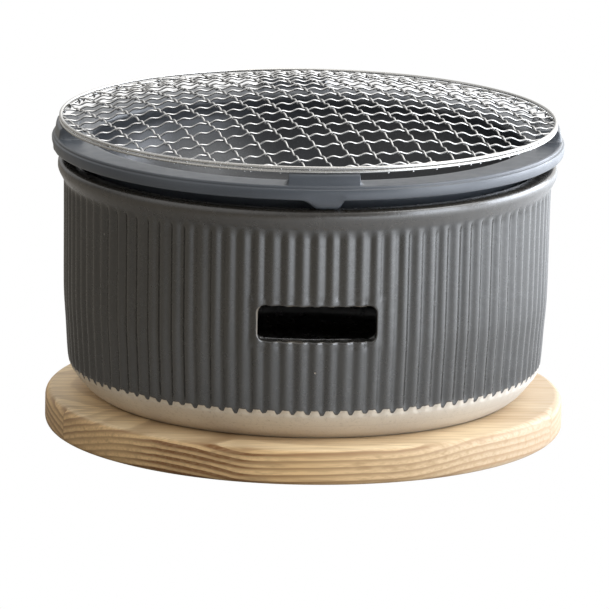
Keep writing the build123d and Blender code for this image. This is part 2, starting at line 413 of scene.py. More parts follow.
def wood_material():
    """Three glued pine planks, grain along X, rings bowed over a pith below."""
    n = Nodes("board_wood")
    p = n.coord()
    x, y, z = n.xyz()
    # planks are glued side by side along Y
    joint_a, joint_b = -0.047, 0.044
    in_b = n.span(y, joint_a - 0.00001, joint_a + 0.00001)
    in_c = n.span(y, joint_b - 0.00001, joint_b + 0.00001)
    pith = n.math("MULTIPLY_ADD", in_b, 0.100, -0.095)
    pith = n.math("MULTIPLY_ADD", in_c, 0.083, pith)
    shift = n.math("MULTIPLY_ADD", in_b, 0.0051, 0.0)
    shift = n.math("MULTIPLY_ADD", in_c, 0.0037, shift)
    # rings dip and rise slowly along the grain
    t = n.span(x, -0.133, 0.133)
    curve = n.t.nodes.new("ShaderNodeFloatCurve")
    n.link(t, curve.inputs["Value"])
    pts = [(-133, 5.0), (-111, 8.8), (-103, 10.9), (-95, 12.2), (-85, 13.4), (-75, 14.4), (-60, 14.4), (-46, 13.2), (-36, 12.4), (-23, 13.0), (0, 14.0), (22, 14.0), (49, 12.9), (65, 13.6), (80, 14.6), (101, 14.5), (133, 14.6)]
    cv = curve.mapping.curves[0]
    while len(cv.points) < len(pts):
        cv.points.new(0.5, 0.5)
    for q, (a, b) in zip(cv.points, pts):
        q.location = ((a + 133) / 266, b / 16)
    curve.mapping.update()
    rise = n.math("MULTIPLY", curve.outputs[0], 0.016)
    # each plank's own wander
    slow = n.noise(n.mapping(n.vec(x, n.math("MULTIPLY_ADD", n.math("ADD", in_b, in_c), 0.35, y), z), (0.30, 1.0, 1.0)), 17.0, 2.0, 0.5, color=True)
    wob = n.xyz(slow)
    dy = n.math("SUBTRACT", y, pith)
    dy = n.math("MULTIPLY_ADD", n.math("SUBTRACT", wob[0], 0.5), 0.010, dy)
    bow = n.math("MULTIPLY", n.math("MULTIPLY", dy, dy), n.span(x, 0.050, 0.120, 1.0 / 0.352, 1.0 / 0.95))
    r = n.math("SUBTRACT", n.math("ADD", n.math("ADD", z, bow), shift), rise)
    r = n.math("MULTIPLY_ADD", n.math("SUBTRACT", wob[1], 0.5), 0.0030, r)
    fine = n.noise(n.mapping(p, (0.06, 1.0, 1.0)), 150.0, 3.0)
    r = n.math("MULTIPLY_ADD", n.math("SUBTRACT", fine, 0.5), 0.0009, r)
    ring = n.math("DIVIDE", n.math("ADD", r, 0.0005), 0.0034)
    frac = n.math("FRACT", ring)
    idx = n.math("FLOOR", ring)
    # late wood darkens slowly towards the end of each ring, then stops
    late = n.ramp(frac, [(0.0, (0.75, 0.75, 0.75)), (0.07, (0.06, 0.06, 0.06)), (0.36, (0.08, 0.08, 0.08)), (0.62, (0.60, 0.60, 0.60)), (0.84, (1, 1, 1)), (0.97, (0.92, 0.92, 0.92)), (1.0, (0.75, 0.75, 0.75))])
    late = n.xyz(late)[0]
    # bands thicken and thin along the plank
    swell = n.noise(n.mapping(n.vec(x, n.math("MULTIPLY", idx, 0.31), z), (0.7, 1.0, 1.0)), 22.0, 3.0, 0.6)
    late = n.math("POWER", late, n.math("MULTIPLY", n.span(swell, 0.30, 0.70, 0.40, 2.0), n.math("MULTIPLY_ADD", n.math("MULTIPLY", n.span(x, -0.098, -0.070, smooth=True), n.span(x, -0.048, -0.022, 1.0, 0.0, smooth=True)), -0.45, 1.0)))
    per = n.math("FRACT", n.math("MULTIPLY", n.math("SINE", n.math("MULTIPLY", idx, 12.9898)), 43.758))
    late = n.math("MULTIPLY", late, n.math("MULTIPLY_ADD", per, 0.30, 0.72))
    # denser grain in places along the plank
    dense = n.noise(n.mapping(p, (0.5, 1.0, 1.0), loc=(0.31, 0, 0)), 14.0, 2.0)
    late = n.math("MULTIPLY", late, n.span(dense, 0.30, 0.66, 0.72, 1.0))
    knotty = n.math("MULTIPLY", n.span(x, -0.098, -0.070, smooth=True), n.span(x, -0.048, -0.022, 1.0, 0.0, smooth=True))
    late = n.math("MULTIPLY", late, n.math("MULTIPLY_ADD", knotty, 0.75, 1.0))
    nrm = n.t.nodes.new("ShaderNodeNewGeometry")
    facing = n.xyz(nrm.outputs["Normal"])
    late = n.math("MULTIPLY", late, n.span(facing[2], 0.75, 0.98, 1.0, 0.38), clamp=True)
    light = n.mix(n.noise(n.mapping(p, (0.2, 1, 1)), 30.0, 3.0), (0.81, 0.525, 0.24), (0.90, 0.635, 0.33))
    tint = n.math("MULTIPLY_ADD", in_b, 0.5, n.math("MULTIPLY", in_c, -0.25))
    light = n.mix(n.math("MULTIPLY", tint, 0.5), light, (0.60, 0.40, 0.19))
    # painted light: towards the brightly lit right end the pale wood is painted greyer and the dark latewood paler,
    # both less saturated
    light = n.mix(n.span(x, -0.01, 0.125), light, (0.515, 0.43, 0.32))
    dark = n.mix(n.span(x, -0.02, 0.10), (0.235, 0.105, 0.033), (0.38, 0.235, 0.125))
    # painted light: up-facing faces are painted paler, less so at the right end, standing in for light from above
    light = n.mix(n.math("MULTIPLY", n.span(facing[2], 0.70, 0.96, 0.0, 0.65), n.span(x, 0.06, 0.12, 1.0, 0.2)), light, (0.97, 0.80, 0.53))
    color = n.mix(late, light, dark)
    fibre = n.noise(n.mapping(p, (0.045, 1.0, 1.0)), 900.0, 3.0, 0.6)
    color = n.mix(n.span(fibre, 0.42, 0.66, 0.0, 0.42), color, (0.44, 0.28, 0.135))
    pore = n.noise(n.mapping(p, (0.03, 1.0, 1.0)), 340.0, 2.0, 0.5)
    color = n.mix(n.span(pore, 0.54, 0.70, 0.0, 0.40), color, (0.36, 0.215, 0.10))
    # thin glue lines
    glue = n.math("MINIMUM", n.math("ABSOLUTE", n.math("SUBTRACT", y, joint_a)), n.math("ABSOLUTE", n.math("SUBTRACT", y, joint_b)))
    line = n.span(glue, 0.00008, 0.00030, 0.65, 0.0)
    color = n.mix(line, color, (0.22, 0.12, 0.055))
    # end grain is darker and duller
    end = n.span(n.math("ABSOLUTE", facing[0]), 0.55, 0.95)
    color = n.mix(n.math("MULTIPLY", end, 0.22), color, (0.46, 0.31, 0.17))
    h = n.math("ADD", n.math("MULTIPLY", late, 0.6), n.math("MULTIPLY", fibre, 0.6))
    h = n.math("MULTIPLY_ADD", line, -1.0, h)
    n.set(base=color, rough=n.span(late, 0.0, 1.0, 0.58, 0.46), ior=1.45, normal=n.bump(h, 0.5, 0.00015))
    return n.mat


def pan_material():
    """Blue-grey satin coating with a faint cast skin."""
    n = Nodes("pan_coating")
    p = n.coord()
    cloud = n.noise(p, 14.0, 3.0)
    base = n.mix(n.span(cloud, 0.3, 0.7), (0.056, 0.0635, 0.0745), (0.076, 0.0860, 0.1005))
    x, y, z = n.xyz()
    radius = n.math("SQRT", n.math("ADD", n.math("MULTIPLY", x, x), n.math("MULTIPLY", y, y)))
    # the inside of the bowl below the flange is painted much darker, with a patchy edge
    bowl_darkening = n.math("MULTIPLY", n.span(radius, 0.1135, 0.1095), n.span(z, 0.158, 0.148))
    bowl_darkening = n.math("MULTIPLY", bowl_darkening, n.span(n.noise(p, 24.0, 4.0, 0.6), 0.25, 0.6, 0.80, 1.0))
    base = n.mix(bowl_darkening, base, (0.010, 0.0115, 0.0145))
    speck = n.noise(p, 1300.0, 2.0, 0.6)
    base = n.mix(n.span(speck, 0.55, 0.8, 0.0, 0.40), base, (0.105, 0.115, 0.13))
    h = n.math("ADD", n.math("MULTIPLY", n.noise(p, 700.0, 3.0, 0.6), 0.5), n.noise(p, 90.0, 2.0))
    n.set(base=base, rough=n.span(n.noise(p, 120.0, 3.0), 0.3, 0.7, 0.28, 0.37), ior=1.58, normal=n.bump(h, 0.35, 0.00008))
    return n.mat


def grate_material():
    n = Nodes("grate_iron")
    p = n.coord()
    base = n.mix(n.noise(p, 45.0, 4.0), (0.016, 0.016, 0.0165), (0.034, 0.032, 0.031))
    ash = n.noise(p, 240.0, 4.0, 0.65)
    base = n.mix(n.span(ash, 0.6, 0.8, 0.0, 0.35), base, (0.11, 0.105, 0.10))
    h = n.math("ADD", n.noise(p, 520.0, 4.0, 0.65), n.noise(p, 130.0, 2.0))
    n.set(base=base, metal=0.35, rough=n.span(n.noise(p, 300.0, 2.0), 0.3, 0.7, 0.55, 0.75), normal=n.bump(h, 0.8, 0.00025))
    return n.mat


def wire_material(name, base, rough):
    """Bright drawn wire with faint handling marks."""
    n = Nodes(name)
    p = n.coord()
    fine = n.noise(p, 1500.0, 2.0, 0.5)
    tint = n.noise(p, 40.0, 2.0)
    col = n.mix(n.span(tint, 0.3, 0.7), base, tuple(c * 0.88 for c in base))
    n.set(base=col, metal=1.0, rough=n.span(fine, 0.3, 0.7, rough, rough + 0.06), normal=n.bump(fine, 0.12, 0.00002))
    return n.mat


MAT_GLAZE = glaze_material()
MAT_WOOD = wood_material()
MAT_PAN = pan_material()
MAT_GRATE = grate_material()
MAT_RIM = wire_material("net_rim_steel", (0.66, 0.652, 0.63), 0.22)
MAT_WIRE = wire_material("net_wire_steel", (0.60, 0.597, 0.59), 0.15)

# ------------------------------------------------------------------ lathe


def ring_faces(faces, a, b, n, flip=False):
    """Quads between two closed loops of n points that start at a and b."""
    for i in range(n):
        j = (i + 1) % n
        quad = (a + i, a + j, b + j, b + i)
        faces.append(tuple(reversed(quad)) if flip else quad)


def cap_centre(verts, faces, loop, n, centre, flip=False):
    verts.append(centre)
    c = len(verts) - 1
    for i in range(n):
        j = (i + 1) % n
        tri = (loop + i, loop + j, c)
        faces.append(tuple(reversed(tri)) if flip else tri)


def make_board():
    r, t, f = 133.0, 18.5, 4.2
    prof = [(60.0, 0.0), (110.0, 0.0)]
    prof += arc_pts(r - f, f, f, -90, 0, 7)
    prof += arc_pts(r - f, t - f, f, 0, 90, 7)
    prof += [(110.0, t), (60.0, t)]
    n = 288
    verts, faces = [], []
    for pr, pz in prof:
        for i in range(n):
            a = tau * i / n
            # hand-sanded edge: the outline wanders by a fraction of a millimetre
            w = 0.16 * sin(3 * a + 0.7) + 0.10 * sin(7 * a + 2.1) if pr > 120 else 0.0
            rr = min(pr + w * (pr - 120) / 13, r) if pr > 120 else pr
            verts.append((rr * cos(a), rr * sin(a), pz))
    for k in range(len(prof) - 1):
        ring_faces(faces, k * n, (k + 1) * n, n)
    cap_centre(verts, faces, 0, n, (0, 0, 0.0), flip=True)
    cap_centre(verts, faces, (len(prof) - 1) * n, n, (0, 0, t))
    o = build("wooden_board", verts, faces, [MAT_WOOD], "board")
    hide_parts("base_board")
    return o


# ------------------------------------------------------------------ body
SUB = 10
NCOL = REEDS * SUB
CREST = Interp([
    (0.0, 106.3), (0.3, 107.1), (1.2, 108.7), (3.2, 111.6), (6.0, 114.6), (9.2, 117.4), (12.0, 119.6), (14.5, 121.0),
    (19.8, 121.9), (35.7, 123.0), (54.0, 124.2), (75.5, 124.5), (104.6, 124.8), (110.0, 124.9),
    (112.6, 126.2), (116.8, 127.9), (119.0, 127.75), (120.3, 127.0), (120.9, 125.9), (121.1, 124.6),
])
DEPTH = Interp([(0.0, 0.0), (10.0, 0.0), (13.0, 0.12), (15.6, 0.75), (17.4, 1.25), (20.5, 1.68), (106.0, 1.68), (108.2, 1.15), (110.2, 0.35), (111.4, 0.0), (121.2, 0.0)])


def reed_shape(a):
    """0 on a crest, 1 in a valley; a round reed with a tight valley."""
    t = (a - REED_TURN) * REEDS / tau
    k = math.floor(t + 0.5)
    u = 2 * (t - k)
    d = 0.35 * u * u + 0.65 * (0.5 - 0.5 * cos(pi * u))
    # soften the very bottom of the valley
    return d if d < 0.80 else 0.80 + 0.18 * (1 - exp(-(d - 0.80) / 0.18)), k


def wander(a, z):
    """Small unevenness of a hand-finished wall, in millimetres."""
    return (
        0.10 * sin(3 * a + 1.3)
        + 0.07 * sin(5 * a - 0.4 + z * 0.02)
        + 0.05 * sin(11 * a + z * 0.05)
        + 0.04 * sin(z * 0.11 + 2 * a)
    )


def outer_r(a, z):
    h = z - FZ
    crest = CREST(h)
    depth = DEPTH(h)
    shape, k = reed_shape(a)
    jitter = 1.0 + 0.10 * sin(k * 2.399 + 0.5) + 0.05 * sin(k * 5.1)
    fade = sstep(0, 14, h) * sstep(121.1, 108, h)
    r = crest - depth * jitter * shape - 0.10 + wander(a, z) * 0.45 * fade
    # the glaze stands proud of the bare clay below it
    line = 16.6 - 1.5 * shape ** 1.4 + 1.28 * min(0.0, cos(a))
    r -= 0.28 * sstep(line + 0.45, line - 0.35, h) * sstep(3.0, 8.0, h)
    return r


INNER = Interp([
    (9.0, 98.5), (9.7, 103.0), (12.0, 108.0), (16.0, 111.8), (21.0, 113.8), (25.0, 114.5), (60.0, 114.95), (100.0, 115.5),
    (108.0, 116.9), (113.0, 118.0), (118.5, 118.0), (119.6, 118.35), (120.5, 119.2), (120.95, 120.1), (121.1, 121.2),
])


def inner_r(a, z):
    return INNER(z - FZ) + 0.12 * sin(4 * a + 0.6) * sstep(12, 30, z - FZ) * sstep(118, 100, z - FZ)


def on_wall(rfun, x, z, side):
    """y of a wall surface at a given x and z; side is -1 front, +1 rear."""
    r = rfun(side * pi / 2, z)
    for _ in range(7):
        y = side * sqrt(max(r * r - x * x, 1.0))
        r = rfun(atan2(y, x), z)
    return side * sqrt(max(r * r - x * x, 1.0))


def slot_near(x, z):
    """Closest point and outward normal on the slot's rounded outline."""
    cx = min(max(x, -SLOT_HALF + SLOT_RAD), SLOT_HALF - SLOT_RAD)
    cz = min(max(z, SLOT_LO + SLOT_RAD), SLOT_HI - SLOT_RAD)
    dx, dz = x - cx, z - cz
    d = hypot(dx, dz)
    nx, nz = dx / d, dz / d
    return cx + nx * SLOT_RAD, cz + nz * SLOT_RAD, nx, nz


def make_body():
    verts, faces = [], []
    # rows of the outer wall, from the foot up to the crown of the lip
    rows = [0.0, 0.35, 1.2, 2.2, 3.2, 4.6, 6.0, 7.6, 9.2, 10.6, 12.0, 12.8, 13.4]
    rows += [13.8 + 0.36 * i for i in range(13)]
    rows += [18.8, 19.8, 22.0, 25.0, 28.5, 32.0, 36.0, 40.0, 44.0, 46.8, 49.1]
    top_rows = [75.0, 77.5, 81.0, 85.0, 89.0, 93.0, 97.0, 100.5, 103.0, 104.8, 106.0, 107.0, 107.8, 108.6, 109.4, 110.2, 111.0, 111.8, 112.8, 114.0, 115.2, 116.4, 117.5, 118.7, 119.6, 120.2, 120.7, 121.0, 121.1]
    mid = [49.1 + (75.0 - 49.1) * i / 12 for i in range(1, 12)]
    lo_i = len(rows) - 1
    rows = rows + mid + top_rows
    hi_i = lo_i + len(mid) + 1
    phase = REED_TURN
    ang = [phase + tau * (i + 0.5) / NCOL for i in range(NCOL)]
    out0 = 0
    for h in rows:
        for a in ang:
            r = outer_r(a, FZ + h)
            verts.append((r * cos(a), r * sin(a), FZ + h))
    # inner wall uses the same columns and, beside the slots, the same rows
    in_rows = [121.1, 120.95, 120.5, 119.6, 118.5, 116.0, 113.0, 110.5, 108.0, 104.0, 100.0, 92.0, 83.0, 75.0]
    in_mid = list(reversed(mid))
    in_rows2 = [49.1, 40.0, 32.0, 25.0, 21.0, 18.0, 16.0, 14.0, 12.0, 10.6, 9.7, 9.2, 9.0]
    ihi = len(in_rows) - 1
    irows = in_rows + in_mid + in_rows2
    ilo = ihi + len(in_mid) + 1
    in0 = len(verts)
    for h in irows:
        for a in ang:
            r = inner_r(a, FZ + h)
            verts.append((r * cos(a), r * sin(a), FZ + h))
    # columns covered by each slot patch
    margin = 5.2
    holes = []
    for side in (-1, 1):
        cols = [i for i in range(NCOL) if abs(cos(ang[i]) * 124.0) < SLOT_HALF + margin and sin(ang[i]) * side > 0]
        # put them in order of angle, without a wrap
        cols.sort(key=lambda i: (ang[i] - side * pi / 2 + pi) % tau)
        holes.append((side, cols))
    skip = set()
    for side, cols in holes:
        for i in cols[:-1]:
            skip.add(i)
    for k in range(len(rows) - 1):
        for i in range(NCOL):
            if lo_i <= k < hi_i and i in skip:
                continue
            j = (i + 1) % NCOL
            a, b = out0 + k * NCOL, out0 + (k + 1) * NCOL
            faces.append((a + i, a + j, b + j, b + i))
    ring_faces(faces, (len(rows) - 1) * NCOL, in0, NCOL)
    for k in range(len(irows) - 1):
        for i in range(NCOL):
            if ihi <= k < ilo and i in skip:
                continue
            j = (i + 1) % NCOL
            a, b = in0 + k * NCOL, in0 + (k + 1) * NCOL
            faces.append((a + i, a + j, b + j, b + i))
    # slot patches
    for side, cols in holes:
        def border(base, k_lo, k_hi):
            """Closed border of the patch, anticlockwise in (column, row)."""
            ks = range(k_lo, k_hi) if k_lo < k_hi else range(k_lo, k_hi, -1)
            loop = [base + k_lo * NCOL + c for c in cols[:-1]]
            loop += [base + k * NCOL + cols[-1] for k in ks]
            loop += [base + k_hi * NCOL + c for c in reversed(cols[1:])]
            loop += [base + k * NCOL + cols[0] for k in (range(k_hi, k_lo, -1) if k_lo < k_hi else range(k_hi, k_lo))]
            return loop

        ob = border(out0, lo_i, hi_i)
        ib = border(in0, ilo, ihi)
        m = len(ob)
        near_o = [slot_near(verts[v][0], verts[v][2]) for v in ob]
        near_i = [slot_near(verts[v][0], verts[v][2]) for v in ib]

        def add_loop(points):
            s = len(verts)
            verts.extend(points)
            return list(range(s, s + m))

        def stitch(a, b):
            for q in range(m):
                w = (q + 1) % m
                faces.append((a[q], a[w], b[w], b[q]))

        edge_r = 1.15
        last = ob
        for t in (0.70, 0.42, 0.20, 0.07):
            pts = []
            for v, (qx, qz, nx, nz) in zip(ob, near_o):
                px, pz = verts[v][0], verts[v][2]
                sx, sz = qx + nx * edge_r, qz + nz * edge_r
                x, z = lerp(sx, px, t), lerp(sz, pz, t)
                pts.append((x, on_wall(outer_r, x, z, side), z))
            loop = add_loop(pts)
            stitch(last, loop)
            last = loop
        for deg in (0, 18, 36, 54, 72, 90):
            f = radians(deg)
            off = edge_r * (1 - sin(f))
            depth = edge_r * (1 - cos(f))
            pts = []
            for qx, qz, nx, nz in near_o:
                x, z = qx + nx * off, qz + nz * off
                # beside the edge the reeds melt away a little
                pts.append((x, on_wall(outer_r, x, z, side) - side * depth, z))
            loop = add_loop(pts)
            stitch(last, loop)
            last = loop
        # tunnel through the wall
        outer_edge = last
        inner_pts = []
        for qx, qz, nx, nz in near_i:
            inner_pts.append((qx, on_wall(inner_r, qx, qz, side) + side * 1.0, qz))
        for t in (0.33, 0.66):
            pts = []
            for v, p1 in zip(outer_edge, inner_pts):
                p0 = verts[v]
                pts.append(tuple(lerp(c0, c1, t) for c0, c1 in zip(p0, p1)))
            loop = add_loop(pts)
            stitch(last, loop)
            last = loop
        loop = add_loop(inner_pts)
        stitch(last, loop)
        last = loop
        for deg in (30, 60, 90):
            f = radians(deg)
            pts = []
            for qx, qz, nx, nz in near_i:
                x, z = qx + nx * (1 - cos(f)), qz + nz * (1 - cos(f))
                pts.append((x, on_wall(inner_r, x, z, side) + side * (1 - sin(f)), z))
            loop = add_loop(pts)
            stitch(last, loop)
            last = loop
        pts = []
        for v, (qx, qz, nx, nz) in zip(ib, near_i):
            px, pz = verts[v][0], verts[v][2]
            x, z = lerp(qx + nx, px, 0.5), lerp(qz + nz, pz, 0.5)
            pts.append((x, on_wall(inner_r, x, z, side), z))
        loop = add_loop(pts)
        stitch(last, loop)
        stitch(loop, ib)
    # inside floor and foot underside: fewer columns are enough, so fan down
    def reduce(base, n_from, radius, z, to_n):
        s = len(verts)
        step = n_from // to_n
        for i in range(to_n):
            a = ang[0] + tau * i / to_n
            verts.append((radius * cos(a), radius * sin(a), z))
        new = []
        for i in range(to_n):
            j = (i + 1) % to_n
            for q in range(step):
                u = base + i * step + q
                w = base + (i * step + q + 1) % n_from
                tgt = s + i if q < step / 2 else s + j
                new.append((u, w, tgt))
                if q == step // 2 - 1:
                    new.append((w, s + j, s + i))
        faces.extend(new)
        return s

    last_in = in0 + (len(irows) - 1) * NCOL
    few = NCOL // 10
    s = reduce(last_in, NCOL, 92.0, FZ + 9.0, few)
    for r in (60.0, 25.0):
        q = len(verts)
        for i in range(few):
            a = ang[0] + tau * i / few
            verts.append((r * cos(a), r * sin(a), FZ + 9.0))
        ring_faces(faces, s, q, few)
        s = q
    cap_centre(verts, faces, s, few, (0, 0, FZ + 9.0))
    # underside: foot ring, then a shallow recess
    n_face0 = len(faces)
    s = reduce(out0, NCOL, 107.0, FZ, few)
    for r, z in ((98.0, FZ), (97.2, FZ + 0.3), (96.6, FZ + 1.0), (95.6, FZ + 2.3), (94.8, FZ + 2.5), (60.0, FZ + 2.5), (25.0, FZ + 2.5)):
        q = len(verts)
        for i in range(few):
            a = ang[0] + tau * i / few
            verts.append((r * cos(a), r * sin(a), z))
        ring_faces(faces, s, q, few)
        s = q
    cap_centre(verts, faces, s, few, (0, 0, FZ + 2.5))
    for k in range(n_face0, len(faces)):
        faces[k] = tuple(reversed(faces[k]))
    o = build("stoneware_body", verts, faces, [MAT_GLAZE], "body")
    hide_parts("ceramic_body")
    return o


# ------------------------------------------------------------------ fire pan
LIP_TOP = FZ + 121.1
FL0 = LIP_TOP + 5.7
FL1 = FL0 + 7.2
PAD_TOP = FL1 + 5.8
PAN_TURN = radians(0.85)


def make_pan():
    ncol_base = 480
    # angles, refined at the pads' and lugs' ends
    marks = []
    for k in range(4):
        f = -pi / 2 + PAN_TURN + k * pi / 2
        marks += [f - radians(8.2), f + radians(8.2)]
    angles = [tau * i / ncol_base for i in range(ncol_base)]
    for m in marks:
        angles += [(m + radians(0.09) * j) % tau for j in range(-16, 17)]
    angles = sorted(angles)
    clean = [angles[0]]
    for a in angles[1:]:
        if a - clean[-1] > radians(0.045):
            clean.append(a)
    if clean[0] + tau - clean[-1] < radians(0.045):
        clean.pop()
    angles = clean
    n = len(angles)

    # profile points: (plain r, plain z, pad r, pad z, lug r, lug z)
    P = []

    def add(r, z, pad=None, lug=None):
        P.append(((r, z), pad or (r, z), lug or (r, z)))

    # under the ledge, outwards
    add(72.0, 100.2)
    add(72.0, 99.1)
    add(72.2, 98.7)
    add(72.7, 98.5)
    add(78.0, 98.5)
    add(84.0, 98.5)
    for q in catmull([(88.0, 100.0), (97.0, 107.0), (105.3, 118.4), (111.4, 131.0), (113.9, 141.2)], 4):
        add(*q)
    add(113.9, 143.6)
    add(114.4, 144.6, lug=(114.4, 144.4))
    add(115.4, 145.2, lug=(115.6, 144.2))
    add(117.0, 145.2, lug=(117.4, 142.2))
    add(118.0, 145.2, lug=(118.4, 140.7))
    add(119.2, 145.2, lug=(119.6, 139.85))
    add(121.4, 145.2, lug=(121.2, 139.62))
    add(123.6, 145.2, lug=(123.2, 139.62))
    add(125.6, 145.2, lug=(124.7, 139.8))
    add(127.8, 145.2, lug=(126.2, 140.4))
    add(129.4, 145.2, lug=(127.6, 141.35))
    add(130.05, 145.28, lug=(128.6, 142.4))
    add(130.5, 145.52, lug=(129.3, 143.6))
    add(130.78, 145.9, lug=(129.9, 145.1))
    add(130.94, 146.5, lug=(130.5, 147.0))
    add(131.0, 147.6, lug=(130.95, 148.8))
    add(131.0, 150.1)
    # a shallow groove under the top edge
    add(130.85, 150.55)
    add(130.45, 150.8)
    add(130.15, 151.0)
    add(130.15, 151.25)
    add(130.2, 151.5)
    add(130.15, 151.8)
    add(129.95, 152.1)
    add(129.6, 152.33)
    add(129.1, 152.4, pad=(129.45, 152.55))
    add(128.6, 152.4, pad=(129.25, 153.0))
    add(128.0, 152.4, pad=(129.1, 154.5))
    add(127.2, 152.4, pad=(128.9, 156.3))
    add(126.6, 152.4, pad=(128.65, 157.25))
    add(126.0, 152.4, pad=(128.25, 157.8))
    add(125.0, 152.4, pad=(127.6, 158.1))
    add(124.0, 152.4, pad=(126.7, 158.2))
    add(121.0, 152.4, pad=(121.0, 158.2))
    add(118.8, 152.4, pad=(118.6, 158.15))
    add(117.8, 152.4, pad=(117.8, 157.8))
    add(117.0, 152.4, pad=(117.3, 157.0))
    add(116.4, 152.4, pad=(116.8, 155.4))
    add(115.8, 152.36, pad=(116.2, 153.5))
    add(115.0, 152.25, pad=(115.5, 152.6))
    for q in arc_pts(115.5, 147.3, 5.05, 105, 180, 8):
        add(*q)
    add(110.4, 144.5)
    for q in catmull([(110.35, 141.2), (107.9, 131.5), (102.2, 120.2), (94.0, 109.8), (85.5, 103.2)], 4):
        add(*q)
    add(84.0, 102.15)
    add(82.9, 102.0)
    add(74.0, 102.0)
    add(72.7, 102.0)
    add(72.2, 101.8)
    add(72.0, 101.3)

    verts, faces = [], []
    half = 8.2
    for (r0, z0), (r1, z1), (r2, z2) in P:
        for a in angles:
            # distance from the nearest pad centre, in degrees
            d = (math.degrees(a - PAN_TURN + pi / 2) + 45) % 90 - 45
            e = (half - abs(d)) * radians(1) * 127  # mm inside the pad's end
            # a hollow fillet rises into a nearly upright end
            t = min(1.0, max(0.0, (e + 2.4) / 2.9))
            w = 0.85 * (1 - sqrt(max(0.0, 1 - t * t))) + 0.15 * sstep(-1.2, 1.0, e)
            # lug: long ramp on the left, short one on the right
            s = d * radians(1) * 129.5
            ramp = min(1.0, max(0.0, (s + 11.3) / 8.1))
            ramp = 0.6 * ramp * ramp * (3 - 2 * ramp) + 0.4 * ramp
            lw = min(ramp, sstep(10.2, 7.7, s))
            r = r0 + (r1 - r0) * w + (r2 - r0) * lw
            z = z0 + (z1 - z0) * w + (z2 - z0) * lw
            # the casting is not quite round or level
            edge = sstep(116, 128, r)
            r += 0.07 * sin(2 * a + 0.4) * edge
            z += (0.06 * sin(3 * a + 1.0) + 0.04 * sin(7 * a)) * sstep(141, 146, z) * (1 - lw) * (1 - w) * 0.8
            r = min(r, 131.1)
            verts.append((r * cos(a), r * sin(a), z))
    for k in range(len(P) - 1):
        ring_faces(faces, k * n, (k + 1) * n, n)
    # the ring closes on itself round its open bottom
    ring_faces(faces, (len(P) - 1) * n, 0, n)
    o = build("fire_pan_casting", verts, faces, [MAT_PAN], "pan")
    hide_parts("fire_pan")
    return o


def planar_fill(outer, holes):
    """Triangles that fill a flat region: lists of 2-D points, returns points and faces."""
    import bmesh
    bm = bmesh.new()
    loops = []
    for loop in [outer] + holes:
        vs = [bm.verts.new((p[0], p[1], 0)) for p in loop]
        es = [bm.edges.new((vs[i], vs[(i + 1) % len(vs)])) for i in range(len(vs))]
        loops.append((vs, es))
    bm.verts.index_update()
    all_edges = [e for _, es in loops for e in es]
    bmesh.ops.triangle_fill(bm, use_beauty=True, use_dissolve=False, edges=all_edges, normal=(0, 0, 1))
    bm.verts.index_update()
    tris = []
    for f in bm.faces:
        idx = [v.index for v in f.verts]
        (ax, ay, _), (bx, by, _), (cx, cy, _) = [v.co for v in f.verts]
        if (bx - ax) * (cy - ay) - (by - ay) * (cx - ax) < 0:
            idx.reverse()
        tris.append(tuple(idx))
    bm.free()
    return tris


# ------------------------------------------------------------------ grate


def make_grate():
    z0, z1 = 102.0, 107.0
    m = 24
    circle = [(cos(tau * q / m), sin(tau * q / m)) for q in range(m)]
    centres = [(0.0, 0.0)]
    for ring, count in ((18.0, 6), (34.0, 12), (50.0, 18), (65.0, 24)):
        centres += [(ring * cos(tau * k / count), ring * sin(tau * k / count)) for k in range(count)]
    n = 160
    verts, faces = [], []
    prof = [(78.5, z0), (80.6, z0), (81.3, z0 + 0.7), (81.4, z0 + 2.5), (81.2, z1 - 1.2), (80.6, z1 - 0.35), (79.4, z1), (77.2, z1 - 0.05), (76.2, z1 - 0.75), (75.2, z1 - 0.9)]
    for r, z in prof:
        verts.extend((r * cos(tau * i / n), r * sin(tau * i / n), z) for i in range(n))
    for k in range(len(prof) - 1):
        ring_faces(faces, k * n, (k + 1) * n, n)
    top_z = prof[-1][1]
    rims = {}
    for base, radius, z, flip in (((len(prof) - 1) * n, 75.2, top_z, False), (0, 78.5, z0, True)):
        outer = [(radius * cos(tau * i / n), radius * sin(tau * i / n)) for i in range(n)]
        wide = 5.4 if not flip else 4.9
        hole_pts = [[(cx + wide * c, cy + wide * s) for c, s in circle] for cx, cy in centres]
        tris = planar_fill(outer, hole_pts)
        index = list(range(base, base + n))
        starts = []
        for loop in hole_pts:
            s = len(verts)
            verts.extend((px, py, z) for px, py in loop)
            index.extend(range(s, s + m))
            starts.append(s)
        for t in tris:
            f = tuple(index[i] for i in t)
            faces.append(tuple(reversed(f)) if flip else f)
        rims[flip] = starts
    for (cx, cy), a, b in zip(centres, rims[False], rims[True]):
        last = a
        for r, z in ((4.95, top_z - 0.15), (4.62, top_z - 0.5), (4.5, top_z - 1.1), (4.5, z0 + 0.5)):
            s = len(verts)
            verts.extend((cx + r * c, cy + r * d, z) for c, d in circle)
            ring_faces(faces, last, s, m, flip=True)
            last = s
        ring_faces(faces, last, b, m, flip=True)
    o = build("cast_grate", verts, faces, [MAT_GRATE], "grate")
    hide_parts("charcoal_grate")
    # flat faces stay flat, rounded edges stay round
    o.data.set_sharp_from_angle(angle=radians(42))
    return o


# ------------------------------------------------------------------ net
RIM_R = 126.7
LOW_Z = PAD_TOP + 0.8
UP_Z = LOW_Z + 1.9
MID_Z = (LOW_Z + UP_Z) / 2
PITCH = 13.12
TURN_B = radians(16.5)
DOME_H = 15.6
WIRE_R = 0.51


def dome(r):
    flat = min(1.0, max(0.0, (r - 84.0) / 22.0)) * min(1.0, max(0.0, (126.5 - r) / 7.0))
    return DOME_H * (1 - min(1.0, r / RIM_R) ** 1.8) - 1.6 * flat * flat * (3 - 2 * flat)


